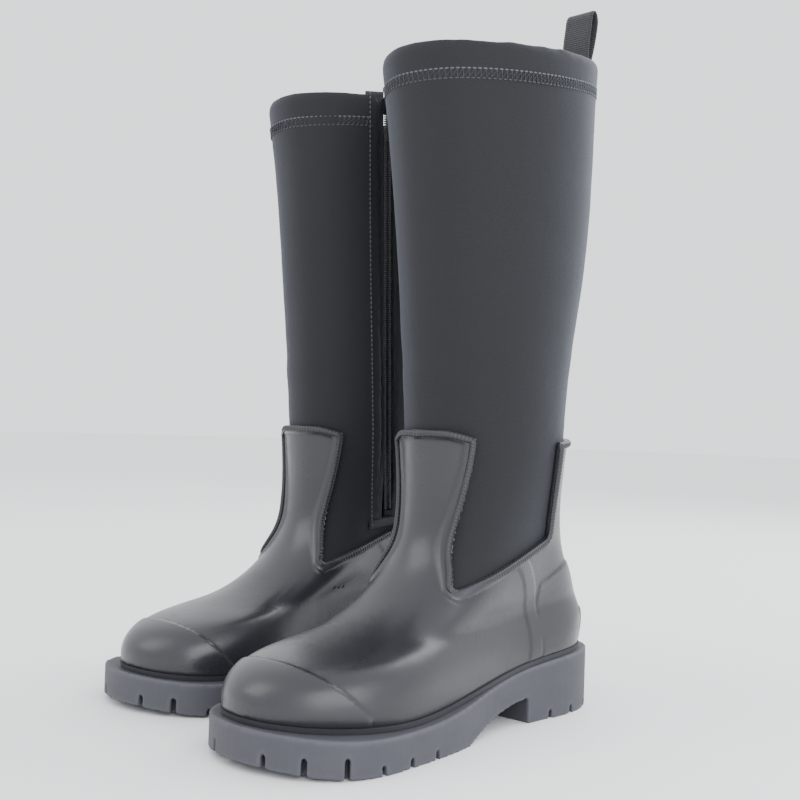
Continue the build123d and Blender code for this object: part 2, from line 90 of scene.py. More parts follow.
class BootSizes(bpy.types.PropertyGroup):
    """Sizes of the sewn, moulded and woven detail."""

    shell_voxel: FloatProperty(
        name="Shell cell", description="Cell size of the neoprene skin", default=1.6 * MM, unit="LENGTH")
    rubber_voxel: FloatProperty(
        name="Rubber cell", description="Cell size of the moulded rubber skin", default=1.0 * MM, unit="LENGTH")
    kept_faces: FloatProperty(
        name="Kept faces", description="Share of a fine skin's faces that are kept", default=0.6,
        subtype="FACTOR", min=0.1, max=1.0)
    sag: FloatProperty(
        name="Sag", description="Height of the soft waves in the neoprene", default=0.9 * MM, unit="LENGTH")
    rib_pitch: FloatProperty(
        name="Rib pitch", description="Distance between the ribs on the rim", default=2.2 * MM, unit="LENGTH")
    rib_width: FloatProperty(
        name="Rib width", description="Length of a rib across the rim", default=4.4 * MM, unit="LENGTH")
    stitch_length: FloatProperty(
        name="Stitch", description="Length of one stitch", default=2.6 * MM, unit="LENGTH")
    stitch_pitch: FloatProperty(
        name="Stitch pitch", description="Distance from one stitch to the next", default=3.2 * MM,
        unit="LENGTH")
    thread: FloatProperty(
        name="Thread", description="Thickness of the sewing thread", default=0.8 * MM, unit="LENGTH")
    upper_row: FloatProperty(
        name="Upper row", description="Upper collar stitch row below the top edge", default=19.5 * MM,
        unit="LENGTH")
    lower_row: FloatProperty(
        name="Lower row", description="Lower collar stitch row below the top edge", default=25 * MM,
        unit="LENGTH")
    zigzag_pitch: FloatProperty(
        name="Zigzag pitch", description="Distance between the points of the cover stitch",
        default=3 * MM, unit="LENGTH")
    tooth_pitch: FloatProperty(
        name="Tooth pitch", description="Distance between zip coil turns", default=1.5 * MM, unit="LENGTH")
    loop_wall: FloatProperty(
        name="Webbing", description="Thickness of the pull loop's webbing", default=1.3 * MM, unit="LENGTH")
    seed: IntProperty(name="Seed", description="Seed of the waves in the neoprene", default=7)


class BootColours(bpy.types.PropertyGroup):
    """Base colours of the finishes."""

    neoprene: FloatVectorProperty(
        name="Neoprene", description="Knit-faced neoprene", default=(0.0063, 0.0066, 0.0082), subtype="COLOR")
    rubber: FloatVectorProperty(
        name="Rubber", description="Moulded galosh rubber", default=(0.0155, 0.016, 0.0195), subtype="COLOR")
    sole: FloatVectorProperty(
        name="Sole", description="Matte sole rubber", default=(0.036, 0.0366, 0.0448), subtype="COLOR")
    webbing: FloatVectorProperty(
        name="Webbing", description="Woven pull loop", default=(0.009, 0.0093, 0.011), subtype="COLOR")
    tape: FloatVectorProperty(
        name="Zip tape", description="Woven zip tape", default=(0.008, 0.0083, 0.01), subtype="COLOR")
    thread: FloatVectorProperty(
        name="Thread", description="Sewing thread", default=(0.06, 0.063, 0.075), subtype="COLOR")
    metal: FloatVectorProperty(
        name="Zip metal", description="Dark enamelled zip metal", default=(0.03, 0.03, 0.033), subtype="COLOR")


class BootStage(bpy.types.PropertyGroup):
    """Where the camera stands, and the studio's light."""

    place: FloatVectorProperty(
        name="Camera", description="Place of the camera", default=(0.54076, -0.53125, 0.17572),
        subtype="TRANSLATION", unit="LENGTH")
    yaw: FloatProperty(name="Yaw", description="Turn of the camera", default=-0.763064, unit="ROTATION")
    pitch: FloatProperty(name="Pitch", description="Rise of the camera", default=0.025182, unit="ROTATION")
    roll: FloatProperty(name="Roll", description="Roll of the camera", default=0.034043, unit="ROTATION")
    lens: FloatProperty(name="Lens", description="Focal length in millimetres", default=52.54)
    floor: FloatVectorProperty(
        name="Floor", description="Colour of the floor", default=(0.9, 0.9, 0.9), subtype="COLOR")
    key: FloatProperty(name="Key light", description="Power of the key light", default=13.0, unit="POWER")
    fill: FloatProperty(name="Fill light", description="Power of the fill light", default=34.0, unit="POWER")
    sky: FloatProperty(name="Sky", description="Strength of the light all round", default=1.75)


# ---- Node trees

class Wire:
    """One value in a node tree, so that maths on it reads as a Python expression."""

    def __init__(self, tree, socket):
        self.tree = tree
        self.socket = socket

    def maths(self, operation, *values):
        return self.tree.node("ShaderNodeMath", {"operation": operation}, dict(enumerate(values)))

    def other(self, name):
        return Wire(self.tree, self.socket.node.outputs[name])

    def __add__(self, value):
        return self.maths("ADD", self, value)

    def __mul__(self, value):
        return self.maths("MULTIPLY", self, value)

    def __sub__(self, value):
        return self.maths("SUBTRACT", self, value)

    def __rsub__(self, value):
        return self.maths("SUBTRACT", value, self)

    def __truediv__(self, value):
        return self.maths("DIVIDE", self, value)

    __radd__ = __add__
    __rmul__ = __mul__


class Tree:
    """A node tree under construction."""

    def __init__(self, tree):
        self.tree = tree

    def node(self, kind, settings=None, inputs=None, output=0):
        """Adds one node, sets it, fills or links its sockets, and gives one of its outputs."""
        made = self.tree.nodes.new(kind)
        for name, value in (settings or {}).items():
            if name == "stops":
                for stop, (place, shade) in zip(self.stops_of(made, len(value)), value):
                    stop.position = place
                    stop.color = (shade, shade, shade, 1)
            else:
                setattr(made, name, value)
        for key, value in (inputs or {}).items():
            if isinstance(value, Wire):
                self.tree.links.new(value.socket, made.inputs[key])
            else:
                made.inputs[key].default_value = value
        return Wire(self, made.outputs[output]) if made.outputs else None

    @staticmethod
    def stops_of(ramp, count):
        while len(ramp.color_ramp.elements) < count:
            ramp.color_ramp.elements.new(0.5)
        return ramp.color_ramp.elements


class Finish(Tree):
    """A material made of nodes."""

    def __init__(self, name):
        self.material = bpy.data.materials.new(name)
        self.material.use_nodes = True
        super().__init__(self.material.node_tree)
        self.tree.nodes.clear()
        self.place = self.node("ShaderNodeTexCoord", output="Object")

    def along(self, axis):
        return self.node("ShaderNodeSeparateXYZ", inputs={0: self.place}).other(axis)

    def noise(self, scale, detail=2.0, at=None):
        inputs = {"Vector": at or self.place, "Scale": scale, "Detail": detail}
        return self.node("ShaderNodeTexNoise", inputs=inputs)

    def stretched(self, x, y, z):
        return self.node("ShaderNodeMapping", inputs={"Vector": self.place, "Scale": (x, y, z)})

    def attribute(self, name):
        return self.node("ShaderNodeAttribute", {"attribute_name": name}).other("Fac")

    def ramp(self, value, *stops):
        return self.node("ShaderNodeValToRGB", {"stops": stops}, {0: value})

    def mix(self, amount, first, second):
        inputs = {0: amount, 6: shade(first), 7: shade(second)}
        return self.node("ShaderNodeMix", {"data_type": "RGBA"}, inputs, output=2)

    def bump(self, height, distance, strength=1.0, under=None):
        inputs = {"Height": height, "Distance": distance, "Strength": strength}
        if under:
            inputs["Normal"] = under
        return self.node("ShaderNodeBump", inputs=inputs)

    def shader(self, colour, roughness, normal=None, **constants):
        inputs = {"Base Color": shade(colour), "Roughness": roughness}
        if normal:
            inputs["Normal"] = normal
        inputs.update({name.replace("_", " "): value for name, value in constants.items()})
        surface = self.node("ShaderNodeBsdfPrincipled", inputs=inputs)
        self.node("ShaderNodeOutputMaterial", inputs={0: surface})
        return self.material


def shade(colour):
    """A colour as a socket takes it."""
    return colour if isinstance(colour, Wire) else (*tuple(colour)[:3], 1.0)


def scaled(colour, amount):
    """A lighter or darker form of a colour."""
    return tuple(min(1.0, part * amount) for part in tuple(colour)[:3])


# ---- Finishes

def neoprene_finish(colour):
    """Fine jersey knit over foam: faint courses, a fuzzy face and soft uneven dye."""
    finish = Finish("neoprene_knit")
    courses = finish.node(
        "ShaderNodeTexWave", {"bands_direction": "Z"},
        {"Vector": finish.place, "Scale": 330.0, "Distortion": 1.6, "Detail": 2.0, "Detail Scale": 2.5})
    wales = finish.noise(1.0, 3.0, finish.stretched(2400, 2400, 900))
    fuzz = finish.noise(1900.0, 3.0)
    clouds = finish.noise(9.0, 4.0)
    face = finish.mix(clouds, scaled(colour, 0.86), scaled(colour, 1.16))
    face = finish.mix(fuzz * wales * 0.9, face, scaled(colour, 1.9))
    normal = finish.bump(courses * 0.25 + wales, 0.16 * MM, 0.6)
    normal = finish.bump(finish.noise(60.0, 3.0), 0.5 * MM, 0.35, normal)
    return finish.shader(
        face, fuzz * 0.12 + 0.72, normal, Sheen_Weight=0.14, Sheen_Roughness=0.45,
        Sheen_Tint=(0.75, 0.8, 1.0, 1.0), Specular_IOR_Level=0.35)


def lining_finish(colour):
    """Looser jersey on the inside."""
    finish = Finish("lining_jersey")
    knit = finish.noise(1.0, 2.0, finish.stretched(1500, 1500, 700))
    face = finish.mix(knit, scaled(colour, 0.55), scaled(colour, 1.0))
    return finish.shader(face, 0.92, finish.bump(knit, 0.35 * MM, 0.8), Sheen_Weight=0.2)


def rubber_finish(name, colour, roughness, speckle):
    """Moulded rubber: satin skin, fine orange peel, edges lightened partly as wear and partly as a painted
    highlight, and hollows darkened with painted shade and made duller.
    """
    finish = Finish(name)
    # ridge picks out proud edges for a lighter tone, part wear and part painted highlight; hollow picks out
    # recesses for painted shade.
    ridge = finish.ramp(finish.attribute("ridge"), (0.5, 0.0), (0.8, 1.0))
    hollow = finish.ramp(finish.attribute("ridge"), (0.2, 1.0), (0.48, 0.0))
    clouds = finish.noise(22.0, 5.0)
    grain = finish.noise(1300.0, 3.0)
    smears = finish.ramp(finish.noise(1.0, 6.0, finish.stretched(30, 30, 75)), (0.42, 0.0), (0.72, 1.0))
    face = finish.mix(clouds, scaled(colour, 0.88), scaled(colour, 1.12))
    face = finish.mix(grain * speckle, face, scaled(colour, 1.7))
    # Painted highlight with some wear: proud edges and ridges are lightened, standing in for the light lines
    # that run along them.
    face = finish.mix(ridge * 0.55, face, scaled(colour, 1.9))
    # Painted shade: hollows and grooves are darkened where shade falls.
    face = finish.mix(hollow * 0.7, face, scaled(colour, 0.45))
    dullness = clouds * 0.12 + smears * 0.1 + hollow * 0.2 + (roughness - 0.1)
    normal = finish.bump(grain, 0.07 * MM, 0.6)
    normal = finish.bump(finish.noise(140.0, 2.0), 0.25 * MM, 0.35, normal)
    return finish.shader(face, dullness, normal, Specular_IOR_Level=0.55)


def webbing_finish(name, colour, pitch):
    """A narrow woven tape: weft ribs across it and warp threads along it, from its own UV map."""
    finish = Finish(name)
    across = finish.node("ShaderNodeUVMap", {"uv_map": "weave"})
    spread = finish.node("ShaderNodeSeparateXYZ", inputs={0: across})
    weft = spread.other("Y") * (2 * math.pi / pitch)
    warp = spread.other("X") * (2 * math.pi / (pitch * 0.8))
    weave = weft.maths("SINE", weft) * 0.5 + warp.maths("SINE", warp) * 0.35 + 0.5
    fuzz = finish.noise(2200.0, 2.0)
    face = finish.mix(weave, scaled(colour, 0.6), scaled(colour, 1.9))
    face = finish.mix(fuzz * 0.4, face, scaled(colour, 2.6))
    normal = finish.bump(weave, 0.25 * MM, 0.9)
    return finish.shader(face, fuzz * 0.1 + 0.72, normal, Sheen_Weight=0.15)


def thread_finish(name, colour):
    """Twisted polyester thread with a little gloss."""
    finish = Finish(name)
    twist = finish.noise(3200.0, 2.0)
    face = finish.mix(twist, scaled(colour, 0.7), scaled(colour, 1.35))
    return finish.shader(face, twist * 0.2 + 0.45, finish.bump(twist, 0.08 * MM, 0.6))


def metal_finish(colour):
    """Dark enamel over cast metal, worn in scattered patches."""
    finish = Finish("zip_enamel")
    pits = finish.noise(1600.0, 3.0)
    wear = finish.ramp(finish.noise(260.0, 4.0), (0.6, 0.0), (0.75, 1.0))
    face = finish.mix(wear * 0.6, colour, scaled(colour, 5.0))
    return finish.shader(
        face, pits * 0.15 + 0.28, finish.bump(pits, 0.04 * MM, 0.5), Metallic=0.75, Coat_Weight=0.3)


def hidden_finish(name, colour, scale, roughness):
    """A plain inner layer with some grain."""
    finish = Finish(name)
    grain = finish.noise(scale, 4.0)
    face = finish.mix(grain, scaled(colour, 0.75), scaled(colour, 1.25))
    return finish.shader(face, grain * 0.1 + roughness, finish.bump(grain, 0.1 * MM, 0.5))


def steel_finish():
    """Brushed spring steel of the shank."""
    finish = Finish("shank_steel")
    brush = finish.noise(1.0, 4.0, finish.stretched(3000, 60, 3000))
    face = finish.mix(brush, (0.4, 0.4, 0.42), (0.62, 0.62, 0.64))
    return finish.shader(face, brush * 0.2 + 0.25, finish.bump(brush, 0.03 * MM, 0.4), Metallic=1.0)


# ---- Meshes

def merged(nodes):
    """One bmesh holding copies of CAD nodes with their doubled points merged."""
    copy = bmesh.new()
    for node in nodes:
        copy.from_mesh(frame["nodes"][node].data)
    bmesh.ops.remove_doubles(copy, verts=copy.verts, dist=0.001 * MM)
    return copy


def searchable(*nodes):
    """CAD nodes as a tree that finds where a ray meets them."""
    copy = merged(nodes)
    tree = BVHTree.FromBMesh(copy)
    copy.free()
    return tree


def points_of(*nodes):
    """Every point of some CAD nodes, as rows of numbers."""
    found = []
    for node in nodes:
        mesh = frame["nodes"][node].data
        places = np.empty(len(mesh.vertices) * 3)
        mesh.vertices.foreach_get("co", places)
        found.append(places.reshape(-1, 3))
    return np.vstack(found)


def baked(source, name):
    """The plain mesh that an object's modifiers make. The object itself goes."""
    bpy.context.view_layer.update()
    depsgraph = bpy.context.evaluated_depsgraph_get()
    mesh = bpy.data.meshes.new_from_object(source.evaluated_get(depsgraph))
    mesh.name = name
    bpy.data.objects.remove(source)
    return mesh


def shown(mesh, name):
    """A new object in the scene that holds a mesh."""
    piece = bpy.data.objects.new(name, mesh)
    bpy.context.scene.collection.objects.link(piece)
    return piece


def placed(mesh, name, body, materials=(), stands_for=()):
    """A finished piece: smooth faces, its finishes, its body and the CAD nodes it stands for."""
    piece = shown(mesh, name)
    for material in materials:
        mesh.materials.append(material)
    mesh.polygons.foreach_set("use_smooth", [True] * len(mesh.polygons))
    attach(piece, body)
    if stands_for:
        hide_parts(*stands_for)
    return piece


def repaint(node, material):
    """Gives a CAD node a better material in place of its own."""
    piece = frame["nodes"][node]
    for holder in piece.material_slots:
        holder.link = "OBJECT"
        holder.material = material


def moulded(nodes, name, cell, rounds):
    """One closed skin over CAD nodes, with edges softened as in a moulded or stretched part."""
    start = bpy.data.meshes.new(name)
    copy = merged(nodes)
    copy.to_mesh(start)
    copy.free()
    source = shown(start, name + "_source")
    skin = source.modifiers.new("skin", "REMESH")
    skin.mode = "VOXEL"
    skin.voxel_size = cell
    soften = source.modifiers.new("soften", "SMOOTH")
    soften.factor = 0.5
    soften.iterations = rounds
    return baked(source, name)


def thinned(mesh, share):
    """The same skin with a share of its faces, the flat places losing the most."""
    name = mesh.name
    source = shown(mesh, name + "_fine")
    fewer = source.modifiers.new("fewer", "DECIMATE")
    fewer.ratio = share
    thin = baked(source, name + "_thin")
    bpy.data.meshes.remove(mesh)
    thin.name = name
    return thin


def neighbours_mean(values, edges, count):
    """Mean of each point's neighbours."""
    total = np.zeros((count, values.shape[1]))
    first, second = edges.T
    np.add.at(total, first, values[second])
    np.add.at(total, second, values[first])
    number = np.bincount(edges.ravel(), minlength=count).reshape(-1, 1)
    return total / np.maximum(number, 1)


def mark_ridges(mesh, cell):
    """Stores how proud of its neighbours each point stands: 0 in a hollow, 0.5 on a plain, 1 on an edge."""
    count = len(mesh.vertices)
    places = np.empty(count * 3)
    normals = np.empty(count * 3)
    edges = np.empty(len(mesh.edges) * 2, int)
    mesh.vertices.foreach_get("co", places)
    mesh.vertices.foreach_get("normal", normals)
    mesh.edges.foreach_get("vertices", edges)
    places = places.reshape(-1, 3)
    normals = normals.reshape(-1, 3)
    edges = edges.reshape(-1, 2)
    proud = ((places - neighbours_mean(places, edges, count)) * normals).sum(1).reshape(-1, 1) / cell
    for _ in range(3):
        proud = (proud + neighbours_mean(proud, edges, count)) / 2
    marks = np.clip(0.5 + proud * 5, 0, 1).ravel()
    mesh.attributes.new("ridge", "FLOAT", "POINT").data.foreach_set("value", marks)


def grid_skin(name, rows, uv_step, walls=True):
    """A closed strip from rows of (outer point, inner point) pairs, with a UV map in metres."""
    made = bmesh.new()
    weave = made.loops.layers.uv.new("weave")
    outer = [[made.verts.new(pair[0]) for pair in row] for row in rows]
    inner = [[made.verts.new(pair[1]) for pair in row] for row in rows]
    high = len(rows) - 1
    wide = len(rows[0]) - 1

    def face(corners, places):
        quad = made.faces.new(corners)
        for loop, (across, along) in zip(quad.loops, places):
            loop[weave].uv = (across * uv_step[0], along * uv_step[1])

    for i in range(high):
        for j in range(wide):
            places = [(j, i), (j + 1, i), (j + 1, i + 1), (j, i + 1)]
            face([outer[b][a] for a, b in places], places)
            face([inner[b][a] for a, b in reversed(places)], places[::-1])
    if walls:
        for i in range(high):
            for j, step in ((0, 1), (wide, -1)):
                corners = [outer[i + 1][j], inner[i + 1][j], inner[i][j], outer[i][j]][::step]
                face(corners, [(j, i + 1), (j, i + 1), (j, i), (j, i)][::step])
        for j in range(wide):
            for i, step in ((0, 1), (high, -1)):
                corners = [outer[i][j], inner[i][j], inner[i][j + 1], outer[i][j + 1]][::step]
                face(corners, [(j, i), (j, i), (j + 1, i), (j + 1, i)][::step])
    bmesh.ops.recalc_face_normals(made, faces=made.faces)
    mesh = bpy.data.meshes.new(name)
    made.to_mesh(mesh)
    made.free()
    return mesh


# ---- Patterns that repeat along a line

def recipe(name, sizes):
    """An empty geometry tree with a line, named sizes and a material as its inputs."""
    group = bpy.data.node_groups.new(name, "GeometryNodeTree")
    group.interface.new_socket("Line", in_out="INPUT", socket_type="NodeSocketGeometry")
    for size in sizes:
        group.interface.new_socket(size, in_out="INPUT", socket_type="NodeSocketFloat")
    group.interface.new_socket("Material", in_out="INPUT", socket_type="NodeSocketMaterial")
    group.interface.new_socket("Pattern", in_out="OUTPUT", socket_type="NodeSocketGeometry")
    tree = Tree(group)
    return tree, tree.node("NodeGroupInput")


def laid_beads():
    """Small rounded beads laid along a line at one pitch: stitches, ribs and zip teeth."""
    tree, given = recipe("laid_beads", ("Pitch", "Length", "Width", "Height"))
    line = tree.node("GeometryNodeMeshToCurve", inputs={0: given.other("Line")})
    spots = tree.node(
        "GeometryNodeResampleCurve", {"mode": "LENGTH"}, {"Curve": line, "Length": given.other("Pitch")})
    bead = tree.node("GeometryNodeMeshUVSphere", inputs={"Segments": 8, "Rings": 6, "Radius": 0.5})
    outward = tree.node(
        "GeometryNodeInputNamedAttribute", {"data_type": "FLOAT_VECTOR"}, {"Name": "outward"})
    ahead = tree.node("GeometryNodeInputTangent")
    turn = tree.node("FunctionNodeAlignRotationToVector", {"axis": "Z"}, {"Vector": ahead})
    turn = tree.node(
        "FunctionNodeAlignRotationToVector", {"axis": "X", "pivot_axis": "Z"},
        {"Rotation": turn, "Vector": outward})
    size = tree.node(
        "ShaderNodeCombineXYZ",
        inputs={"X": given.other("Height"), "Y": given.other("Width"), "Z": given.other("Length")})
    beads = tree.node(
        "GeometryNodeInstanceOnPoints",
        inputs={"Points": spots, "Instance": bead, "Rotation": turn, "Scale": size})
    solid = tree.node("GeometryNodeRealizeInstances", inputs={0: beads})
    done = tree.node(
        "GeometryNodeSetMaterial", inputs={"Geometry": solid, "Material": given.other("Material")})
    tree.node("NodeGroupOutput", inputs={0: done})
    return tree.tree


def drawn_thread():
    """A round thread drawn along a line."""
    tree, given = recipe("drawn_thread", ("Thickness",))
    line = tree.node("GeometryNodeMeshToCurve", inputs={0: given.other("Line")})
    ring = tree.node(
        "GeometryNodeCurvePrimitiveCircle", inputs={"Resolution": 5, "Radius": given.other("Thickness") * 0.5})
    tube = tree.node(
        "GeometryNodeCurveToMesh", inputs={"Curve": line, "Profile Curve": ring, "Fill Caps": True})
    solid = tree.node("GeometryNodeRealizeInstances", inputs={0: tube})
    done = tree.node(
        "GeometryNodeSetMaterial", inputs={"Geometry": solid, "Material": given.other("Material")})
    tree.node("NodeGroupOutput", inputs={0: done})
    return tree.tree


def patterned(name, lines, pattern, closed, **inputs):
    """The plain mesh of a pattern run along lines. A line is a list of (place, outward) pairs."""
    places = []
    outwards = []
    edges = []
    for line in lines:
        first = len(places)
        places.extend(place for place, _ in line)
        outwards.extend(outward for _, outward in line)
        edges.extend((first + i, first + i + 1) for i in range(len(line) - 1))
        if closed:
            edges.append((first + len(line) - 1, first))
    mesh = bpy.data.meshes.new(name)
    mesh.from_pydata(places, edges, [])
    flat = np.array([tuple(v) for v in outwards], np.float32).ravel()
    mesh.attributes.new("outward", "FLOAT_VECTOR", "POINT").data.foreach_set("vector", flat)
    source = shown(mesh, name + "_line")
    grown = source.modifiers.new("pattern", "NODES")
    grown.node_group = pattern
    sockets = {s.name: s.identifier for s in pattern.interface.items_tree if s.in_out == "INPUT"}
    for key, value in inputs.items():
        grown[sockets[key]] = value
    made = baked(source, name)
    made.materials.clear()
    made.materials.append(inputs["Material"])
    made.polygons.foreach_set("material_index", [0] * len(made.polygons))
    return made


# ---- Lines on the boots

def rim_edge(side, step):
    """Points along the galosh's free edge, from the cut faces of its rim: (place, ahead, inwards, outward)."""
    across, _ = loop_sides(f"{side}_pull_loop")
    rubber = searchable(f"{side}_galosh")
    copy = merged([f"{side}_galosh_rim"])
    spots = []
    ways = []
    for face in copy.faces:
        cut = abs(face.normal.dot(across)) < 0.02
        if not cut or rubber.ray_cast(face.calc_center_median(), face.normal, 1.2 * MM)[0]:
            continue
        corners = [v.co for v in face.verts]
        share = max(1, int(face.calc_area() / (0.4 * MM) ** 2))
        for k in range(share):
            a = (k * 0.618034) % 1
            b = ((k + 0.5) / share) ** 0.5
            spots.append(corners[0] * (1 - b) + (corners[1] * (1 - a) + corners[2] * a) * b)
            ways.append(face.normal)
    copy.free()
    spots = np.array([tuple(v) for v in spots])
    ways = np.array([tuple(v) for v in ways])
    return walk_round(spots, ways, step)


def walk_round(spots, ways, step):
    """Walks round a closed band of spots from cluster to cluster, and gives its middle line."""
    reach = 3.2 * MM
    here = spots[np.argmax(spots[:, 1])]
    ahead = np.array((1.0, 0.0, 0.0))
    line = []
    for _ in range(2000):
        near = np.linalg.norm(spots - (here + ahead * step), axis=1) < reach
        if not near.any():
            break
        there = spots[near].mean(0)
        turn = there - here
        ahead = ahead * 0.3 + turn / max(np.linalg.norm(turn), 1e-9) * 0.7
        ahead /= np.linalg.norm(ahead)
        here = there
        line.append((here, ways[near].mean(0)))
        if len(line) > 40 and np.linalg.norm(here - line[0][0]) < step * 1.2:
            break
    return line


def smooth_loop(values, rounds):
    """Rows of numbers round a closed loop, each averaged with its neighbours."""
    for _ in range(rounds):
        values = (np.roll(values, 1, 0) + values * 2 + np.roll(values, -1, 0)) / 4
    return values


def spaced_loop(values, places, count):
    """Rows of numbers spaced evenly round a closed loop of places."""
    closed = np.vstack([places, places[:1]])
    reach = np.concatenate([[0], np.cumsum(np.linalg.norm(np.diff(closed, axis=0), axis=1))])
    wanted = np.linspace(0, reach[-1], count, endpoint=False)
    rows = np.vstack([values, values[:1]])
    return np.stack([np.interp(wanted, reach, rows[:, k]) for k in range(rows.shape[1])], 1), reach[-1]


def rim_bead(side, sizes):
    """The rolled rim as a ribbed bead along the galosh's free edge."""
    line = rim_edge(side, 1.5 * MM)
    places = smooth_loop(np.array([place for place, _ in line]), 3)
    ways = smooth_loop(np.array([way for _, way in line]), 4)
    rough = np.hstack([places, ways])
    turns = int(680 * MM / sizes.rib_pitch)
    evened, _ = spaced_loop(rough, places, turns * 6)
    places, ways = evened[:, :3], evened[:, 3:]
    ahead = np.roll(places, -1, 0) - np.roll(places, 1, 0)
    ahead /= np.linalg.norm(ahead, axis=1)[:, None]
    ways -= ahead * (ways * ahead).sum(1)[:, None]
    ways /= np.linalg.norm(ways, axis=1)[:, None]
    outward = np.cross(ahead, ways)
    away = places - places.mean(0)
    away[:, 2] = 0
    outward *= np.sign((outward * away).sum(1))[:, None]
    outward = smooth_loop(outward, 8)
    outward /= np.linalg.norm(outward, axis=1)[:, None]
    middle = places - ways * sizes.rib_width / 2 + outward * 1.2 * MM
    rings = 14
    made = bmesh.new()
    rows = []
    for i, (spot, way, out) in enumerate(zip(middle, ways, outward)):
        rib = 0.5 + 0.5 * math.cos(2 * math.pi * i / 6)
        row = []
        for j in range(rings):
            angle = 2 * math.pi * j / rings
            high = (1.35 + 0.4 * rib) * MM
            row.append(made.verts.new(
                spot + way * math.cos(angle) * sizes.rib_width / 2 + out * math.sin(angle) * high))
        rows.append(row)
    for i, row in enumerate(rows):
        after = rows[(i + 1) % len(rows)]
        for j in range(rings):
            made.faces.new((row[j], row[(j + 1) % rings], after[(j + 1) % rings], after[j]))
    bmesh.ops.recalc_face_normals(made, faces=made.faces)
    mesh = bpy.data.meshes.new(f"{side}_rim_bead")
    made.to_mesh(mesh)
    made.free()
    return mesh


class Shaft:
    """Where the outside of one boot's shaft is."""

    def __init__(self, side):
        self.skin = searchable(f"{side}_neoprene_shaft")
        points = points_of(f"{side}_neoprene_shaft")
        top = points[points[:, 2] > points[:, 2].max() - 40 * MM]
        wide, deep, _ = (top.min(0) + top.max(0)) / 2
        self.middle = Vector((wide, deep, 0))
        self.top = points[:, 2].max()

    def at(self, angle, height):
        """The skin's place and normal at one angle round the shaft and one height, none in the zip's slot."""
        away = Vector((math.sin(angle), -math.cos(angle), 0))
        start = self.middle + away * 200 * MM + UP * height
        hit, normal, _, _ = self.skin.ray_cast(start, -away)
        if hit is None or (hit - self.middle).dot(away) < 30 * MM:
            return None, None
        return hit, normal

    def rim(self, angle):
        """Height of the top edge at one angle."""
        away = Vector((math.sin(angle), -math.cos(angle), 0))
        hit, _ = self.at(angle, self.top - 24 * MM)
        for inset in (1.5, 1.0, 2.0, 0.6) if hit else ():
            over = hit - away * inset * MM
            over.z = self.top + 20 * MM
            edge, _, _, _ = self.skin.ray_cast(over, -UP)
            if edge is not None and edge.z > self.top - 30 * MM:
                return edge.z
        return self.top - 10 * MM

    def row(self, drop, count, gap):
        """A stitch row at one distance below the top edge. gap is the place that it stops short of."""
        line = []
        for i in range(count):
            angle = 2 * math.pi * i / count
            hit, normal = self.at(angle, self.rim(angle) - drop)
            if hit is not None:
                line.append((hit + normal * 0.1 * MM, normal))
        cut = min(range(len(line)), key=lambda i: (line[i][0] - gap).length)
        ordered = line[cut:] + line[:cut]
        return [pair for pair in ordered if (pair[0] - gap).length > 13 * MM]


class ZipRun:
    """The straight frame of one boot's zip: along it, across it and out of it."""

    def __init__(self, side):
        joint = next(j for j in frame["joints"] if j["name"] == f"{side}_zip_run")
        self.along = -Vector(joint["axis"]).normalized()
        front = Vector(points_of(f"{side}_zip_tape_front").mean(0))
        rear = Vector(points_of(f"{side}_zip_tape_rear").mean(0))
        self.middle = (front + rear) / 2
        across = front - rear
        self.across = (across - self.along * across.dot(self.along)).normalized()
        self.out = self.along.cross(self.across)
        inside = Vector(points_of(f"{side}_neoprene_shaft").mean(0)) - self.middle
        if self.out.dot(Vector((inside.x, inside.y, 0))) > 0:
            self.out = -self.out

    def local(self, places):
        """Rows of (along, across, out) for rows of places."""
        moved = places - np.array(self.middle)
        return moved @ np.array([self.along, self.across, self.out]).T

    def world(self, along, across, out=0.0):
        return self.middle + self.along * along + self.across * across + self.out * out

    def span(self, node):
        """Lowest and highest (along, across, out) of a CAD node."""
        places = self.local(points_of(node))
        return places.min(0), places.max(0)

    def strip(self, node, name, lengthwise, crosswise, wave):
        """A soft strip laid over a CAD strip: outer and inner skins found by rays, with slight waves."""
        skin = searchable(node)
        low, high = self.span(node)
        places = np.linspace(low[0] + 0.3 * MM, high[0] - 0.3 * MM, lengthwise + 1)
        found = [(along, self.edges_at(skin, along, low[1], high[1])) for along in places]
        found = [(along, edges) for along, edges in found if edges]
        sides = np.array([edges for _, edges in found])
        padded = np.vstack([sides[:1]] * 3 + [sides] + [sides[-1:]] * 3)
        sides = sum(padded[k:k + len(sides)] for k in range(7)) / 7
        rows = []
        for (along, _), (first, last) in zip(found, sides):
            spread = np.linspace(first + 0.15 * MM, last - 0.15 * MM, crosswise + 1)
            row = [self.pair(skin, along, across, wave, name) for across in spread]
            if all(row):
                rows.append(row)
        steps = ((high[1] - low[1]) / crosswise, (high[0] - low[0]) / lengthwise)
        return grid_skin(name, rows, steps)

    def edges_at(self, skin, along, low, high):
        """The first and last distance across at which a strip is met."""
        step = 0.15 * MM
        count = int((high - low) / step)
        met = [k for k in range(count + 1) if self.outer_at(skin, along, low + k * step)[0]]
        if len(met) < 3:
            return None
        return low + met[0] * step, low + met[-1] * step

    def outer_at(self, skin, along, across):
        return skin.ray_cast(self.world(along, across) + self.out * 40 * MM, -self.out)

    def pair(self, skin, along, across, wave, name):
        place = self.world(along, across)
        outer, _, _, _ = skin.ray_cast(place + self.out * 40 * MM, -self.out)
        inner, _, _, _ = skin.ray_cast(place - self.out * 40 * MM, self.out)
        if outer is None or inner is None:
            return None
        lift = self.out * noise.noise(place * 55 + Vector((len(name), 0, 0))) * wave
        return (outer + lift, inner + lift)

    def line_on(self, node, across, start, end, count):
        """A line along a CAD strip's outer skin."""
        skin = searchable(node)
        line = []
        for i in range(count + 1):
            place = self.world(start + (end - start) * i / count, across)
            hit, normal, _, _ = skin.ray_cast(place + self.out * 40 * MM, -self.out)
            if hit is not None:
                line.append((hit, normal))
        return line


# ---- Operators

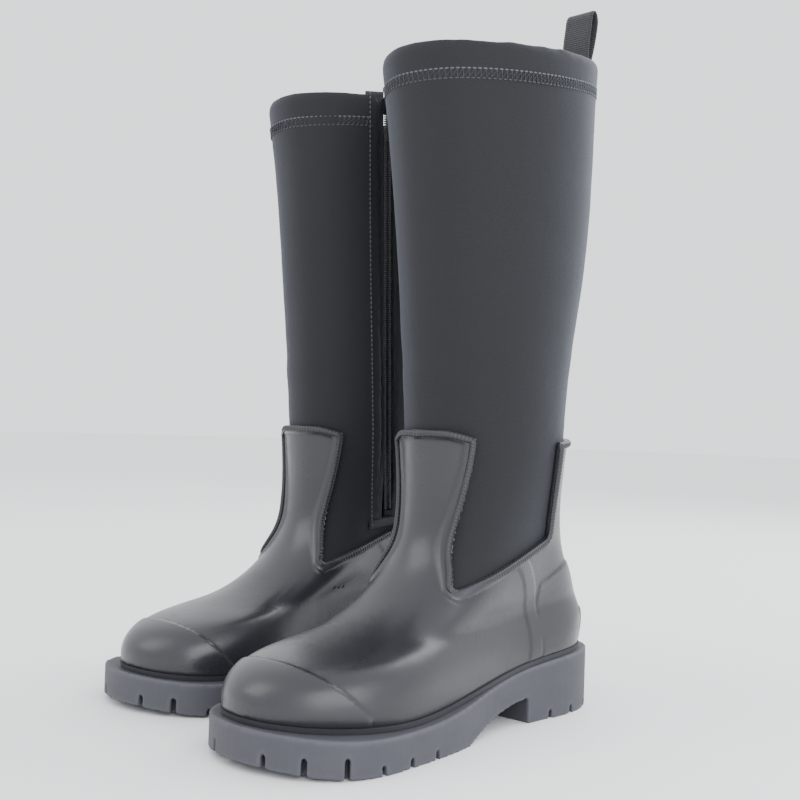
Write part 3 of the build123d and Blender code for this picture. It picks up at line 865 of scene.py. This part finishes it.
class BOOTS_OT_stage(bpy.types.Operator):
    """Floor, soft studio light and the camera"""

    bl_idname = "boots.stage"
    bl_label = "Stage"

    def execute(self, context):
        stage = context.scene.boot_stage
        finish = Finish("pale_floor")
        patches = finish.noise(6.0, 3.0)
        face = finish.mix(patches, scaled(stage.floor, 0.98), scaled(stage.floor, 1.02))
        mesh = bpy.data.meshes.new("floor")
        reach = 12.0
        mesh.from_pydata([(-reach, -reach, 0), (reach, -reach, 0), (reach, reach, 0), (-reach, reach, 0)],
                         [], [(0, 1, 2, 3)])
        mesh.materials.append(finish.shader(face, 0.6))
        shown(mesh, "floor")
        self.light("key", (-0.9, -1.5, 1.5), 1.3, stage.key, (1.0, 0.99, 0.97))
        self.light("fill", (1.9, -0.7, 0.9), 1.6, stage.fill, (0.93, 0.96, 1.0))
        self.light("back", (0.3, 1.6, 1.5), 1.4, stage.fill, (0.95, 0.97, 1.0))
        world = bpy.data.worlds.new("studio")
        world.use_nodes = True
        sky = world.node_tree.nodes["Background"]
        sky.inputs["Color"].default_value = (0.95, 0.97, 1.0, 1.0)
        sky.inputs["Strength"].default_value = stage.sky
        context.scene.world = world
        self.camera(context, stage)
        return {"FINISHED"}

    @staticmethod
    def light(name, place, size, power, colour):
        lamp = bpy.data.lights.new(name, "AREA")
        lamp.size = size
        lamp.energy = power
        lamp.color = colour
        holder = bpy.data.objects.new(name, lamp)
        bpy.context.scene.collection.objects.link(holder)
        target = Vector((0, 0, 0.2))
        holder.location = place
        holder.rotation_mode = "QUATERNION"
        holder.rotation_quaternion = (target - Vector(place)).to_track_quat("-Z", "Y")

    @staticmethod
    def camera(context, stage):
        forward = Vector((
            math.sin(stage.yaw) * math.cos(stage.pitch),
            math.cos(stage.yaw) * math.cos(stage.pitch),
            math.sin(stage.pitch)))
        level = Vector((math.cos(stage.yaw), -math.sin(stage.yaw), 0))
        up = level.cross(forward)
        right = level * math.cos(stage.roll) + up * math.sin(stage.roll)
        up = up * math.cos(stage.roll) - level * math.sin(stage.roll)
        turn = Matrix((right, up, -forward)).transposed().to_4x4()
        camera = bpy.data.objects.new("camera", bpy.data.cameras.new("camera"))
        camera.data.lens = stage.lens
        camera.matrix_world = Matrix.Translation(stage.place) @ turn
        context.scene.collection.objects.link(camera)
        context.scene.camera = camera


class BOOTS_OT_uppers(bpy.types.Operator):
    """The neoprene uppers with their knit lining"""

    bl_idname = "boots.uppers"
    bl_label = "Neoprene uppers"

    def execute(self, context):
        sizes = context.scene.boot_sizes
        colours = context.scene.boot_colours
        outside = neoprene_finish(colours.neoprene)
        inside = lining_finish(colours.neoprene)
        for side in SIDES:
            nodes = [f"{side}_{part}" for part in SHELL_NODES]
            mesh = moulded(nodes, f"{side}_upper", sizes.shell_voxel, 14)
            self.round_collar(mesh, side)
            mesh = thinned(mesh, sizes.kept_faces)
            self.wave(mesh, side, sizes)
            placed(mesh, f"{side}_upper", f"{side}_boot", (outside, inside), nodes)
            self.line_inside(mesh, side)
        return {"FINISHED"}

    @staticmethod
    def round_collar(mesh, side):
        """Evens out the folded top edge, most at the edge itself."""
        shaft = Shaft(side)
        count = len(mesh.vertices)
        places = np.empty(count * 3)
        edges = np.empty(len(mesh.edges) * 2, int)
        mesh.vertices.foreach_get("co", places)
        mesh.edges.foreach_get("vertices", edges)
        places = places.reshape(-1, 3)
        edges = edges.reshape(-1, 2)
        angles = np.arctan2(places[:, 0] - shaft.middle.x, shaft.middle.y - places[:, 1])
        turns = np.linspace(-math.pi, math.pi, 73)
        heights = np.array([shaft.rim(turn) for turn in turns])
        padded = np.concatenate([heights[-4:-1], heights, heights[1:4]])
        heights = np.array([np.median(padded[k:k + 7]) for k in range(len(turns))])
        below = np.interp(angles, turns, heights) - places[:, 2]
        share = np.clip(1.6 - below / (6 * MM), 0, 1).reshape(-1, 1)
        near = np.nonzero(share.ravel() > 0)[0]
        number = np.full(count, -1)
        number[near] = np.arange(len(near))
        inside = (number[edges] >= 0).all(1)
        local = places[near]
        for _ in range(60):
            mean = neighbours_mean(local, number[edges[inside]], len(near))
            local += (mean - local) * share[near] * 0.5
        places[near] = local
        mesh.vertices.foreach_set("co", places.ravel())
        mesh.update()

    @staticmethod
    def wave(mesh, side, sizes):
        """Soft waves in the free part of the shaft, none at the zip or under the rubber."""
        run = ZipRun(side)
        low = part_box(f"{side}_galosh")[1].z
        count = len(mesh.vertices)
        places = np.empty(count * 3)
        normals = np.empty(count * 3)
        mesh.vertices.foreach_get("co", places)
        mesh.vertices.foreach_get("normal", normals)
        places = places.reshape(-1, 3)
        normals = normals.reshape(-1, 3)
        local = run.local(places)
        free = np.clip((places[:, 2] - low - 6 * MM) / (40 * MM), 0, 1)
        free *= np.clip((np.hypot(local[:, 1], local[:, 2]) - 16 * MM) / (20 * MM), 0, 1)
        creases = np.clip(1 - (places[:, 2] - low) / (90 * MM), 0, 1)
        lift = np.zeros(count)
        for i in np.nonzero(free > 0)[0]:
            at = Vector(places[i])
            broad = noise.noise(Vector((at.x * 16 + sizes.seed, at.y * 16, at.z * 11)))
            fold = noise.noise(Vector((at.x * 14, at.y * 14 + sizes.seed, at.z * 62)))
            lift[i] = (broad * 0.8 + fold * (0.25 + creases[i] * 0.9)) * free[i]
        outward = places - np.array(places.mean(0))
        outward[:, 2] = 0
        outward /= np.linalg.norm(outward, axis=1).reshape(-1, 1)
        places += outward * (lift * sizes.sag).reshape(-1, 1)
        mesh.vertices.foreach_set("co", places.ravel())
        mesh.update()

    @staticmethod
    def line_inside(mesh, side):
        """Gives the lining's finish to the faces that lie on the lining."""
        lining = searchable(f"{side}_lining")
        shaft = searchable(f"{side}_neoprene_shaft")
        for face in mesh.polygons:
            from_lining = lining.find_nearest(face.center)[3]
            from_shaft = shaft.find_nearest(face.center)[3]
            face.material_index = 1 if from_lining < from_shaft else 0


class BOOTS_OT_galoshes(bpy.types.Operator):
    """The moulded rubber galoshes with their ridges, and the ribbed rim"""

    bl_idname = "boots.galoshes"
    bl_label = "Rubber galoshes"

    def execute(self, context):
        sizes = context.scene.boot_sizes
        colours = context.scene.boot_colours
        rubber = rubber_finish("galosh_rubber", colours.rubber, 0.32, 0.25)
        ribbed = rubber_finish("rim_rubber", scaled(colours.rubber, 0.45), 0.5, 0.2)
        for side in SIDES:
            nodes = [f"{side}_{part}" for part in RUBBER_NODES]
            mesh = moulded(nodes, f"{side}_galosh_skin", sizes.rubber_voxel, 3)
            mark_ridges(mesh, sizes.rubber_voxel)
            mesh = thinned(mesh, sizes.kept_faces)
            placed(mesh, f"{side}_galosh_skin", f"{side}_boot", (rubber,), nodes)
            bead = rim_bead(side, sizes)
            mark_ridges(bead, 0.6 * MM)
            placed(bead, f"{side}_rim_bead", f"{side}_boot", (ribbed,))
        return {"FINISHED"}


class BOOTS_OT_soles(bpy.types.Operator):
    """Lug soles, welts and the layers inside the soles"""

    bl_idname = "boots.soles"
    bl_label = "Soles"

    def execute(self, context):
        sizes = context.scene.boot_sizes
        colours = context.scene.boot_colours
        sole = rubber_finish("sole_rubber", colours.sole, 0.68, 0.5)
        welt = rubber_finish("welt_rubber", scaled(colours.sole, 0.9), 0.6, 0.3)
        stiffener = hidden_finish("stiffener", (0.1, 0.1, 0.11), 700.0, 0.7)
        painted = {
            "shank": steel_finish(),
            "sole_filler": hidden_finish("filler_foam", (0.1, 0.1, 0.1), 800.0, 0.85),
            "insole_board": hidden_finish("board_fibre", (0.35, 0.3, 0.24), 500.0, 0.85),
            "toe_puff": stiffener,
            "heel_stiffener": stiffener,
            "welt": welt,
        }
        knit = hidden_finish("footbed_knit", (0.03, 0.03, 0.036), 900.0, 0.85)
        for side in SIDES:
            node = f"{side}_outsole"
            mesh = moulded([node], f"{side}_lug_sole", sizes.rubber_voxel, 2)
            mark_ridges(mesh, sizes.rubber_voxel)
            placed(mesh, f"{side}_lug_sole", f"{side}_boot", (sole,), [node])
            for part, material in painted.items():
                repaint(f"{side}_{part}", material)
            node = f"{side}_footbed"
            mesh = moulded([node], f"{side}_insole", 1.5 * MM, 6)
            placed(mesh, f"{side}_insole", f"{side}_boot", (knit,), [node])
        return {"FINISHED"}


class BOOTS_OT_collars(bpy.types.Operator):
    """Cover stitching round the collars"""

    bl_idname = "boots.collars"
    bl_label = "Collar stitching"

    def execute(self, context):
        sizes = context.scene.boot_sizes
        colours = context.scene.boot_colours
        light = thread_finish("cover_thread", colours.thread)
        dark = thread_finish("row_thread", scaled(colours.thread, 0.35))
        beads = laid_beads()
        thread = drawn_thread()
        for side in SIDES:
            shaft = Shaft(side)
            run = ZipRun(side)
            _, high = run.span(f"{side}_zip_tape_front")
            gap = run.world(high[0] - 15 * MM, 0)
            for row, drop, material in (("upper", sizes.upper_row, light), ("lower", sizes.lower_row, dark)):
                line = shaft.row(drop, 180, gap)
                mesh = patterned(
                    f"{side}_collar_{row}_row", [line], beads, False, Pitch=sizes.stitch_pitch,
                    Length=sizes.stitch_length, Width=sizes.thread * 1.5, Height=sizes.thread,
                    Material=material)
                placed(mesh, f"{side}_collar_{row}_row", f"{side}_boot")
            mesh = patterned(
                f"{side}_collar_cover_stitch", [self.zigzag(shaft, sizes, gap)], thread, False,
                Thickness=sizes.thread * 0.8, Material=light)
            placed(mesh, f"{side}_collar_cover_stitch", f"{side}_boot")
        return {"FINISHED"}

    @staticmethod
    def zigzag(shaft, sizes, gap):
        """Points that go from one row to the other and back."""
        girth = 2 * math.pi * 65 * MM
        count = int(girth / sizes.zigzag_pitch) * 2
        upper = shaft.row(sizes.upper_row + 0.6 * MM, count, gap)
        lower = shaft.row(sizes.lower_row - 0.6 * MM, count, gap)
        return [pair[i % 2] for i, pair in enumerate(zip(upper, lower))]


class BOOTS_OT_zips(bpy.types.Operator):
    """Zip tapes, coils, facings with their stitching, sliders and pulls"""

    bl_idname = "boots.zips"
    bl_label = "Zips"

    def execute(self, context):
        sizes = context.scene.boot_sizes
        colours = context.scene.boot_colours
        tape = webbing_finish("zip_tape_weave", colours.tape, 0.8 * MM)
        facing = webbing_finish("facing_weave", scaled(colours.neoprene, 0.8), 0.9 * MM)
        lining = lining_finish(colours.neoprene)
        coil = thread_finish("zip_nylon", (0.035, 0.036, 0.042))
        thread = thread_finish("facing_thread", scaled(colours.thread, 0.8))
        metal = metal_finish(colours.metal)
        pull = rubber_finish("pull_rubber", scaled(colours.rubber, 0.6), 0.5, 0.2)
        beads = laid_beads()
        for side in SIDES:
            run = ZipRun(side)
            body = f"{side}_boot"
            for part, material, slot, across in (
                    ("zip_tape_front", tape, "zip_tape", 8), ("zip_tape_rear", tape, "zip_tape", 8),
                    ("zip_facing", facing, "facing_tape", 10), ("zip_gusset", lining, "lining_knit", 12)):
                node = f"{side}_{part}"
                mesh = run.strip(node, f"{node}_strip", 110, across, 0.15 * MM)
                placed(mesh, f"{node}_strip", body, (material,), [node])
            for part in ("front", "rear"):
                node = f"{side}_zip_coil_{part}"
                low, high = run.span(node)
                middle = (low + high) / 2
                ends = [run.world(low[0] + 0.8 * MM, middle[1], middle[2]),
                        run.world(high[0] - 0.8 * MM, middle[1], middle[2])]
                mesh = patterned(
                    f"{node}_turns", [[(end, run.out) for end in ends]], beads, False,
                    Pitch=sizes.tooth_pitch, Length=1.25 * MM, Width=high[1] - low[1],
                    Height=high[2] - low[2], Material=coil)
                placed(mesh, f"{node}_turns", body, stands_for=[node])
            node = f"{side}_zip_facing"
            low, high = run.span(node)
            middle = (low[0] + high[0]) / 2
            edges = [a for a in np.arange(low[1], high[1], 0.25 * MM)
                     if run.line_on(node, a, middle, middle + MM, 1)]
            for row, across in (("inner", edges[0] + 1.8 * MM), ("outer", edges[-1] - 1.8 * MM)):
                line = run.line_on(node, across, low[0] + 3 * MM, high[0] - 3 * MM, 120)
                mesh = patterned(
                    f"{side}_facing_{row}_stitches", [line], beads, False, Pitch=sizes.stitch_pitch,
                    Length=sizes.stitch_length, Width=sizes.thread * 1.3, Height=sizes.thread, Material=thread)
                placed(mesh, f"{side}_facing_{row}_stitches", body)
            for part, material in (("zip_slider", metal), ("zip_top_stops", metal),
                                   ("zip_bottom_stop", metal), ("zip_pull", pull)):
                repaint(f"{side}_{part}", material)
        return {"FINISHED"}


class BOOTS_OT_loops(bpy.types.Operator):
    """Webbing pull loops with the tabs that hold them"""

    bl_idname = "boots.loops"
    bl_label = "Pull loops"

    def execute(self, context):
        sizes = context.scene.boot_sizes
        colours = context.scene.boot_colours
        webbing = webbing_finish("loop_weave", colours.webbing, 1.5 * MM)
        thread = thread_finish("loop_thread", scaled(colours.webbing, 2.0))
        beads = laid_beads()
        for side in SIDES:
            node = f"{side}_pull_loop"
            band = placed(self.loop(node, sizes), f"{node}_webbing", node, (webbing,), [node])
            band.parent = None
            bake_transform(band)
            self.anchor(side, webbing, thread, beads, sizes)
        return {"FINISHED"}

    @staticmethod
    def loop(node, sizes):
        """A folded band of webbing: up from the collar, round the top and down again."""
        low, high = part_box(node)
        across, out = loop_sides(node)
        half = (high.x - low.x) / 2 - 0.3 * MM
        places = points_of(node)
        crown = Vector(places[places[:, 2] > high.z - 10 * MM].mean(0))
        crown.z = high.z
        foot = Vector(places[places[:, 2] < low.z + 4 * MM].mean(0))
        foot.z = low.z - 5 * MM
        waist = (crown + foot) / 2
        wide = 3.6 * MM
        spine = [(foot, 0.0), (foot + UP * 7 * MM, 0.45), (waist, 1.0), (crown - UP * 8 * MM, 1.0)]
        up = [place + out * wide * spread for place, spread in spine]
        down = [place - out * wide * spread for place, spread in spine]
        turn = [crown - UP * 8 * MM + out * wide * math.cos(a) + UP * 8 * MM * math.sin(a)
                for a in (math.pi * k / 8 for k in range(1, 8))]
        route = smooth_route(up + turn + down[::-1], 90)
        wall = sizes.loop_wall / 2
        columns = 12
        rows = []
        for i, place in enumerate(route):
            ahead = (route[min(i + 1, len(route) - 1)] - route[max(i - 1, 0)]).normalized()
            face = across.cross(ahead).normalized()
            row = []
            for j in range(columns + 1):
                share = 2 * j / columns - 1
                thick = wall * (1.15 if abs(share) > 0.8 else 1.0) * (0.35 if abs(share) == 1 else 1.0)
                centre = place + across * half * share
                row.append((centre + face * thick, centre - face * thick))
            rows.append(row)
        length = sum((b - a).length for a, b in zip(route, route[1:]))
        return grid_skin(f"{node}_webbing", rows, (2 * half / columns, length / len(rows)))

    @staticmethod
    def anchor(side, webbing, thread, beads, sizes):
        """The sewn tab below the loop, with a box of stitches."""
        node = f"{side}_loop_anchor"
        skin = searchable(node)
        low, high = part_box(node)
        middle = (low + high) / 2
        across, out = loop_sides(f"{side}_pull_loop")
        half = (high.x - low.x) / 2 - 0.4 * MM

        def skins(a, z):
            place = Vector((middle.x, middle.y, z)) + across * a
            outer, normal, _, _ = skin.ray_cast(place + out * 40 * MM, -out)
            inner, _, _, _ = skin.ray_cast(place - out * 40 * MM, out)
            return outer, inner, normal

        rows = []
        for i in range(25):
            z = low.z + 0.3 * MM + (high.z - low.z - 0.6 * MM) * i / 24
            row = [skins(half * (2 * j / 10 - 1), z) for j in range(11)]
            if all(outer is not None and inner is not None for outer, inner, _ in row):
                rows.append([(outer, inner) for outer, inner, _ in row])
        mesh = grid_skin(f"{node}_tab", rows, (2 * half / 10, (high.z - low.z) / 24))
        placed(mesh, f"{node}_tab", f"{side}_boot", (webbing,), [node])
        a = half - 2.2 * MM
        bottom = low.z + 3 * MM
        top = high.z - 3.5 * MM
        corners = [(-a, bottom), (a, bottom), (a, top), (-a, top), (-a, bottom), (a, top)]
        line = []
        for (a0, z0), (a1, z1) in zip(corners, corners[1:]):
            for k in range(8):
                outer, _, normal = skins(a0 + (a1 - a0) * k / 8, z0 + (z1 - z0) * k / 8)
                if outer is not None:
                    line.append((outer, normal))
        mesh = patterned(
            f"{node}_stitches", [line], beads, False, Pitch=sizes.stitch_pitch, Length=sizes.stitch_length,
            Width=sizes.thread * 1.3, Height=sizes.thread, Material=thread)
        placed(mesh, f"{node}_stitches", f"{side}_boot")


def loop_sides(node):
    """Across a pull loop, and straight back from the boot."""
    joint = next(j for j in frame["joints"] if j["name"] == f"{node}_fold")
    across = Vector(joint["axis"]).normalized()
    return across, UP.cross(across)


def smooth_route(points, count):
    """Evenly spaced points on a smooth line through some points."""
    curve = bpy.data.curves.new("route", "CURVE")
    curve.dimensions = "3D"
    curve.resolution_u = 24
    spline = curve.splines.new("NURBS")
    spline.points.add(len(points) - 1)
    for knot, place in zip(spline.points, points):
        knot.co = (*place, 1)
    spline.order_u = 3
    spline.use_endpoint_u = True
    mesh = baked(shown(curve, "route"), "route")
    line = [v.co.copy() for v in mesh.vertices]
    bpy.data.meshes.remove(mesh)
    reach = [0.0]
    for a, b in zip(line, line[1:]):
        reach.append(reach[-1] + (b - a).length)
    wanted = np.linspace(0, reach[-1], count)
    columns = [np.interp(wanted, reach, [p[k] for p in line]) for k in range(3)]
    return [Vector(place) for place in zip(*columns)]


class BOOTS_PT_panel(bpy.types.Panel):
    """Lists the pieces of the boots in the order that they are made"""

    bl_label = "Boots"
    bl_idname = "BOOTS_PT_panel"
    bl_space_type = "VIEW_3D"
    bl_region_type = "UI"
    bl_category = "Boots"

    def draw(self, context):
        for operator in OPERATORS:
            self.layout.operator(operator.bl_idname)
        for group in (context.scene.boot_sizes, context.scene.boot_colours, context.scene.boot_stage):
            box = self.layout.box()
            for name in group.bl_rna.properties.keys():
                if name not in ("rna_type", "name"):
                    box.prop(group, name)


OPERATORS = (
    BOOTS_OT_stage, BOOTS_OT_uppers, BOOTS_OT_galoshes, BOOTS_OT_soles, BOOTS_OT_collars,
    BOOTS_OT_zips, BOOTS_OT_loops)
CLASSES = (BootSizes, BootColours, BootStage, *OPERATORS, BOOTS_PT_panel)


def register():
    for made in CLASSES:
        bpy.utils.register_class(made)
    bpy.types.Scene.boot_sizes = PointerProperty(type=BootSizes)
    bpy.types.Scene.boot_colours = PointerProperty(type=BootColours)
    bpy.types.Scene.boot_stage = PointerProperty(type=BootStage)


def unregister():
    del bpy.types.Scene.boot_stage
    del bpy.types.Scene.boot_colours
    del bpy.types.Scene.boot_sizes
    for made in reversed(CLASSES):
        bpy.utils.unregister_class(made)


def main():
    """Makes every piece in order."""
    register()
    bpy.ops.boots.stage()
    bpy.ops.boots.uppers()
    bpy.ops.boots.galoshes()
    bpy.ops.boots.soles()
    bpy.ops.boots.collars()
    bpy.ops.boots.zips()
    bpy.ops.boots.loops()


if __name__ == "__main__":
    main()
